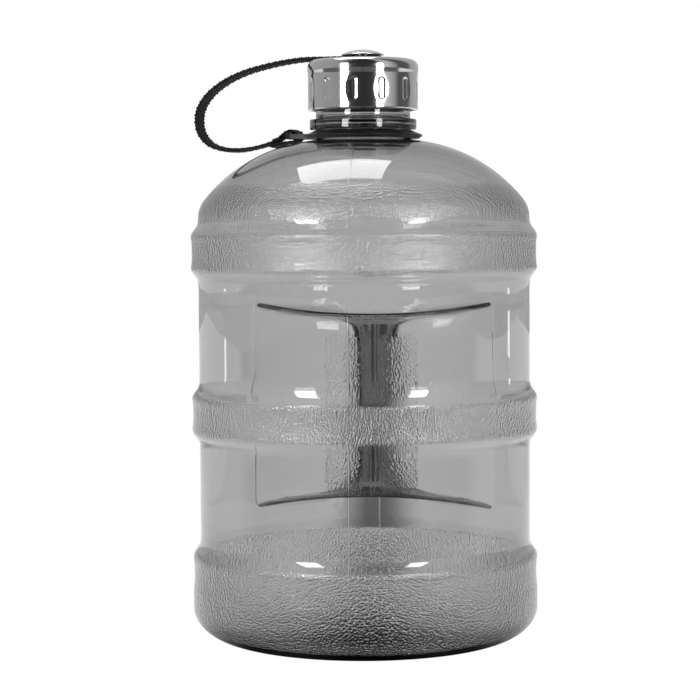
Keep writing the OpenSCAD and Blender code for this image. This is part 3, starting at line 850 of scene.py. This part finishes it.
def relax(p, edges, free, level, rounds):
    """Evens out the free points along the skin, each between its neighbours."""
    count = np.bincount(edges.ravel(), minlength=len(p)).astype(float)[:, None]
    for _ in range(rounds):
        total = np.zeros_like(p)
        np.add.at(total, edges[:, 0], p[edges[:, 1]])
        np.add.at(total, edges[:, 1], p[edges[:, 0]])
        moved = total[free] / count[free]
        p[free] = settle(p[free] + 0.5 * (moved - p[free]), level, 2)
    p[free] = settle(p[free], level)


def thread_height(x, y, z):
    """How far the thread stands out of the neck."""
    turn = np.degrees(np.arctan2(y, x)) % 360 / 360
    out = np.zeros_like(z)
    for n in (0, 1):
        t = turn + n
        runout = np.clip(np.minimum(t, THREAD_TURNS - t) * THREAD_FADE, 0, 1)
        d = np.abs(z - THREAD_Z - THREAD_LEAD * t)
        out = np.maximum(out, np.clip((THREAD_HALF_H - d) / THREAD_FLANK, 0, 1) * runout)
    return out * (THREAD_R - NECK_R)


def inset(rows, t):
    """The same outline t further in, along its own normals."""
    p = np.array(rows)
    d = np.gradient(p, axis=0)
    n = np.stack([-d[:, 1], d[:, 0]], 1)
    return p + t * n / np.linalg.norm(n, axis=1)[:, None]


def hole_loop(outer_row, inner_row):
    """Grid points round the hole that the post leaves in the floor or the roof."""
    step = 1 if inner_row > outer_row else -1
    loop = [(outer_row, j) for j in range(J0, J1)]
    loop += [(k, J1) for k in range(outer_row, inner_row, step)]
    loop += [(inner_row, j) for j in range(J1, J0, -1)]
    loop += [(k, J0) for k in range(inner_row, outer_row, -step)]
    return [k * COLUMNS + j for k, j in loop]


def post_rings(low, high):
    """Rings of points from one hole to the other, along the post."""
    nc, nr = J1 - J0, HOLE_ROWS
    target = np.zeros((len(low), 2))
    back_y = math.sqrt(WALL_R ** 2 - POST_HALF ** 2)
    for i in range(nc):
        x = -POST_HALF + 2 * POST_HALF * i / nc
        target[i] = (x, math.sqrt(WALL_R ** 2 - x * x))
        target[nc + nr + i] = (-x, POST_Y)
    for i in range(nr):
        y = back_y + (POST_Y - back_y) * i / nr
        target[nc + i] = (POST_HALF, y)
        target[2 * nc + nr + i] = (-POST_HALF, POST_Y + back_y - y)
    rings = []
    for s in range(1, POST_RINGS):
        u = s / POST_RINGS
        near = 1 - ease(min(u, 1 - u) * 5)
        end = low if u < 0.5 else high
        xy = target + (end[:, :2] - target) * near ** 2
        rings.append(np.column_stack([xy, low[:, 2] + (high[:, 2] - low[:, 2]) * u]))
    return np.concatenate(rings)


GRAIN_Z = ((7, 42), (100, 117), (176, 193), (200.5, 215))
GRAIN_FADE = 1.5
OUTER_ROUNDS, INNER_ROUNDS = 14, 10


def grain_amount(p):
    """Where the mould is pebbled: in bands round the jug, and on the post."""
    x, y, z = p.T
    out = np.zeros(len(p))
    for lo, hi in GRAIN_Z:
        out = np.maximum(out, np.clip(np.minimum(z - lo, hi - z) / GRAIN_FADE + 0.5, 0, 1))
    back = y > RECESS_Y - 10
    recess = (np.hypot(x, y) < WALL_R - 3) & back & (z > FLOOR_Z - 8) & (z < ROOF_Z + 8)
    post = np.clip(np.minimum(POST_HALF + 12 - np.abs(x), np.abs(x) - 4) / 4, 0, 1)
    post = post * back * np.clip(np.minimum(z - FLOOR_Z - 6, ROOF_Z - 8 - z) / 4, 0, 1)
    return np.where(recess, post, np.maximum(out, post))


# The grid of each skin: rows up the outline, columns round it. The post starts and ends at a hole
# between columns J0 and J1, in rows K0 to K1 of the floor and K2 to K3 of the roof.
ANGLES = column_angles()
RING = np.stack([np.sin(np.radians(ANGLES)), np.cos(np.radians(ANGLES))], 1)
LOW_ROWS, WINDOW = softened(base_rows(0)), window_rows(ANGLES)
TOP_ROWS = softened([(WALL_R, WINDOW_Z[1] + 3)] + band(UPPER_BAND_Z, 0)
                    + [(WALL_R, UPPER_BAND_Z + CREST_GAP / 2 + CREST_RISE)])
FIRST, LAST = len(LOW_ROWS), len(LOW_ROWS) + len(WINDOW)
WINDOW_POINTS = slice(FIRST * COLUMNS, LAST * COLUMNS)
J0, J1 = np.where(np.abs(ANGLES) < POST_HOLE_ANGLE)[0][[0, -1]]
K0, K3 = FIRST + 2, LAST - 3
K1, K2 = K0 + HOLE_ROWS, K3 - HOLE_ROWS
LOW_HOLE, HIGH_HOLE = hole_loop(K0, K1), hole_loop(K3, K2)


def revolved(rows):
    """Grid points of an outline turned round the axis."""
    return np.concatenate([np.column_stack([RING * r, np.full(COLUMNS, z)]) for r, z in rows])


def skin(n_rows):
    """Faces between the rows, with the post in place of the wall at its two holes."""
    faces = []
    for k in range(n_rows - 1):
        for j in range(COLUMNS):
            if J0 <= j < J1 and (K0 <= k < K1 or K2 <= k < K3):
                continue
            jj = (j + 1) % COLUMNS
            faces.append((k * COLUMNS + j, (k + 1) * COLUMNS + j,
                          (k + 1) * COLUMNS + jj, k * COLUMNS + jj))
    start, per = n_rows * COLUMNS, len(LOW_HOLE)
    rings = [LOW_HOLE] + [[start + s * per + i for i in range(per)]
                          for s in range(POST_RINGS - 1)] + [HIGH_HOLE]
    for s in range(POST_RINGS):
        for i in range(per):
            ii = (i + 1) % per
            faces.append((rings[s][i], rings[s + 1][i], rings[s + 1][ii], rings[s][ii]))
    return faces


def shape(points, faces, n_rows, level, rounds):
    """Settles the recess, the post and the wall round them onto one level of the field."""
    pairs = np.array([(f[i], f[(i + 1) % 4]) for f in faces for i in range(4)])
    edges = np.unique(np.sort(pairs, axis=1), axis=0)
    moving = np.zeros(len(points), bool)
    moving[WINDOW_POINTS] = True
    moving[n_rows * COLUMNS:] = True
    points[moving] = settle(points[moving], level, 10)
    free = moving.copy()
    free[FIRST * COLUMNS:(FIRST + 1) * COLUMNS] = False
    free[(LAST - 1) * COLUMNS:LAST * COLUMNS] = False
    free[:n_rows * COLUMNS] &= np.tile(np.abs(ANGLES) < 60, n_rows)
    used = np.isin(np.arange(len(points)), edges)
    relax(points, edges, free & used, level, rounds)


def outer_skin():
    """Points, faces and number of rows of the outer skin, with the thread on its neck."""
    rows = np.concatenate([revolved(LOW_ROWS), WINDOW.reshape(-1, 3), revolved(TOP_ROWS),
                           revolved(dome_rows(0, NECK_R)), revolved(neck_outside())])
    n_rows = len(rows) // COLUMNS
    radius = np.hypot(rows[:, 0], rows[:, 1])
    on_neck = (rows[:, 2] > THREAD_FOOT_Z - 2) & (radius > NECK_R - 0.1)
    rows[on_neck, :2] *= (1 + thread_height(*rows[on_neck].T) / radius[on_neck])[:, None]
    points = np.vstack([rows, post_rings(rows[LOW_HOLE], rows[HIGH_HOLE])])
    faces = skin(n_rows)
    shape(points, faces, n_rows, 0, OUTER_ROUNDS)
    return points, faces, n_rows


def inner_skin(outer, n_outer):
    """The same skin a wall's thickness further in, up to the mouth's edge."""
    window, post = (p - depth_of_plastic(p)[:, None] * normals(p)
                    for p in (outer[WINDOW_POINTS], outer[n_outer * COLUMNS:]))
    rows = np.vstack([revolved(inset(LOW_ROWS, WALL_T)), window, revolved(inset(TOP_ROWS, WALL_T)),
                      revolved(dome_rows(WALL_T, BORE_R)), revolved(neck_inside())])
    n_rows = len(rows) // COLUMNS
    points, faces = np.vstack([rows, post]), skin(n_rows)
    shape(points, faces, n_rows, 1, INNER_ROUNDS)
    return points, faces, n_rows


def make_jug():
    """Both skins as one closed mesh, with a rim between them and a pole in each base."""
    outer, faces, n_outer = outer_skin()
    inner, inner_faces, n_inner = inner_skin(outer, n_outer)
    shift = len(outer)
    vertices = np.vstack([outer, inner, [[0, 0, PUNT_H], [0, 0, PUNT_H + WALL_T]]])
    pole = len(vertices) - 2
    faces = faces + [tuple(shift + i for i in reversed(f)) for f in inner_faces]
    o, i = (n_outer - 1) * COLUMNS, shift + (n_inner - 1) * COLUMNS
    for j in range(COLUMNS):
        jj = (j + 1) % COLUMNS
        faces.append((o + j, i + j, i + jj, o + jj))
        faces.append((pole, j, jj))
        faces.append((pole + 1, shift + jj, shift + j))
    grain = grain_amount(vertices)
    grain[shift:] = 0
    return vertices, faces, grain


vertices, faces, grain = make_jug()
jug = mesh_object("jug_shell", vertices, faces, jug_material(), grain=grain)
jug.visible_shadow = False
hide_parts("jug_body")
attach(jug, "jug")

# ---------- the cap
# The numbers are the CAD's, in millimetres and degrees.
CAP_R, CAP_BOTTOM_Z, CAP_TOP_Z, SHEET_T, BULGE_R, CAP_CORNER = 26.05, 251.4, 275.5, 0.5, 26.35, 3.9
CREASE_Z, CREASE_D, CREASE_H, HEM_ROUND, HEM_LIP = 267.8, 0.05, 3.2, 0.9, 1.5
DIMPLES, DIMPLE_W, DIMPLE_H, DIMPLE_D, DIMPLE_Z, DIMPLE_PHASE = 12, 3.6, 10.8, 0.45, 260.8, 25.3
OVAL_W, OVAL_H, OVAL_D, OVAL_EDGE, DIMPLE_EDGE = 4.1, 7.0, 0.16, 2.2, 0.75
SHANK_R, SHANK_GAP, RIVET_R, RIVET_H, RIVET_RIM, RIVET_Z = 2.4, 0.05, 10.05, 2.7, 0.4, 277.6
TAIL_R, TAIL_T, TAIL_ROUND, BURR_T, RIVET_EDGE = 3.8, 0.9, 0.45, 0.8, 0.2
CAP_COLUMNS, RIVET_COLUMNS = 36, 128


def dimple_depth(angle, z):
    """How far the shell is pressed in: soft ovals, each with a slot-shaped dimple in it."""
    pitch = 360 / DIMPLES
    x = ((angle - DIMPLE_PHASE + pitch / 2) % pitch - pitch / 2) * math.pi / 180 * CAP_R
    y = z - DIMPLE_Z
    oval = ease((1 - np.hypot(x / OVAL_W, y / OVAL_H)) * OVAL_EDGE) * OVAL_D
    slot = np.hypot(x, np.maximum(np.abs(y) - (DIMPLE_H - DIMPLE_W) / 2, 0)) - DIMPLE_W / 2
    return oval + ease(-slot / DIMPLE_EDGE) * (DIMPLE_D - oval)


def cap_profile():
    """The shell's outline: up the outside, over the top to the rivet's hole, and back inside."""
    lip, hem_z = CAP_R - HEM_LIP, CAP_BOTTOM_Z + HEM_ROUND
    corner = BULGE_R - CAP_CORNER, CAP_TOP_Z - CAP_CORNER
    rows = [(lip, CAP_BOTTOM_Z + SHEET_T), (lip - 0.1, CAP_BOTTOM_Z + 0.25), (lip + 0.1, CAP_BOTTOM_Z)]
    rows += arc(CAP_R - HEM_ROUND, hem_z, HEM_ROUND, -90, 0, 8)
    rows += [(CAP_R, z) for z in np.arange(hem_z + 0.7, DIMPLE_Z - OVAL_H, 0.7)]
    rows += [(CAP_R, z) for z in np.linspace(DIMPLE_Z - OVAL_H, CREASE_Z - 0.8, 50)]
    rows += [(CAP_R - CREASE_D * ease(f), CREASE_Z - 0.8 + 0.8 * f) for f in (0.25, 0.5, 0.75)]
    rows += ramp(CAP_R - CREASE_D, CREASE_Z, BULGE_R, CREASE_Z + CREASE_H, 8)
    rows += arc(*corner, CAP_CORNER, 0, 90, 18)
    rows += [(r, CAP_TOP_Z) for r in (20, 17, 14, 11, 8, 5, 3.5, SHANK_R + SHANK_GAP)]
    rows += [(r, CAP_TOP_Z - SHEET_T) for r in (SHANK_R + SHANK_GAP, 3.5, 8, 14, 20)]
    rows += arc(*corner, CAP_CORNER - SHEET_T, 90, 0, 10)
    inner = CAP_R - SHEET_T - DIMPLE_D
    rows += [(inner, z) for z in (CREASE_Z, 264, 261, 258, 254)]
    return rows + [(inner, hem_z)]


def revolve(rows, columns, closed=True, depth=None):
    """A solid of revolution from its outline; depth pushes its outer wall in."""
    a = np.arange(columns) * 360 / columns
    r, z = np.array(rows, float).T
    radius = np.repeat(r[:, None], columns, 1)
    if depth:
        outer = (r > CAP_R - 0.01) & (z < CREASE_Z)
        radius[outer] -= depth(a[None, :], z[outer][:, None])
    t = np.radians(a)
    points = np.stack([radius * np.cos(t), radius * np.sin(t), np.repeat(z[:, None], columns, 1)], -1)
    return points.reshape(-1, 3), ring_faces(len(rows), columns, closed)


def rivet_profile():
    """The rivet's outline: its peened tail, its shank and its domed head."""
    rise = RIVET_H - RIVET_RIM
    ball = (RIVET_R ** 2 + rise ** 2) / (2 * rise)
    span = math.degrees(math.asin(RIVET_R / ball))
    shank_z = CAP_TOP_Z - SHEET_T - SHANK_GAP - BURR_T
    top = RIVET_Z + RIVET_H - ball
    rows = [(0.5, shank_z - TAIL_T), (TAIL_R - 0.8, shank_z - TAIL_T)]
    rows += arc(TAIL_R - TAIL_ROUND, shank_z - TAIL_ROUND, TAIL_ROUND, -90, 60, 6)
    rows += [(SHANK_R + 0.3, shank_z), (SHANK_R, shank_z + 0.1), (SHANK_R, RIVET_Z - 0.1),
             (SHANK_R + 0.3, RIVET_Z), (5, RIVET_Z), (8, RIVET_Z)]
    rows += arc(RIVET_R - RIVET_EDGE, RIVET_Z + RIVET_EDGE, RIVET_EDGE, -90, 30, 5)
    return rows + [(ball * math.sin(math.radians(t)), top + ball * math.cos(math.radians(t)))
                   for t in np.linspace(span * 0.985, 0.6, 22)]


cap_steel = steel("cap_steel", dark=(0.55, 0.55, 0.555), light=(0.66, 0.66, 0.67),
                  rough=(0.06, 0.16), stretch=(60, 60, 2200), depth=0.000008)
rivet_steel = steel("rivet_steel", dark=(0.62, 0.62, 0.63), light=(0.76, 0.76, 0.77),
                    rough=(0.16, 0.34), stretch=(900, 900, 900), depth=0.00001)
shell = mesh_object("steel_cap", *revolve(cap_profile(), DIMPLES * CAP_COLUMNS, depth=dimple_depth),
                    cap_steel)
weld(shell)
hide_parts("cap_shell")
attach(shell, "cap")
rivet = mesh_object("rivet_head", *revolve(rivet_profile(), RIVET_COLUMNS, closed=False),
                    rivet_steel)
weld(rivet)
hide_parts("cap_rivet")
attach(rivet, "cap")

# ---------- the pieces that keep the CAD's meshes
paint("rivet_washer", rivet_steel)
paint("strap_eyelet", steel("dark_plated", dark=(0.16, 0.16, 0.17), light=(0.3, 0.3, 0.32),
                            rough=(0.25, 0.4), stretch=(500, 500, 500), depth=0.00001))
paint("neck_ring", moulded("satin_black", dark=(0.004, 0.004, 0.0042), light=(0.008, 0.008, 0.0085),
                           rough=(0.3, 0.42), grain=1800, depth=0.00003, Specular_IOR_Level=0.3))
paint("swivel_washer", moulded("washer_nylon", dark=(0.02, 0.02, 0.021), light=(0.035, 0.035, 0.037),
                               rough=(0.35, 0.5), grain=1500, depth=0.00002))
paint("cap_liner", moulded("liner_black", dark=(0.006, 0.006, 0.0065), light=(0.013, 0.013, 0.014),
                           rough=(0.4, 0.55), grain=1500, depth=0.00003))
paint("cap_gasket", moulded("gasket_white", dark=(0.72, 0.72, 0.71), light=(0.82, 0.82, 0.81),
                            rough=(0.6, 0.75), grain=900, depth=0.00004,
                            Subsurface_Weight=0.1, Subsurface_Scale=0.002))
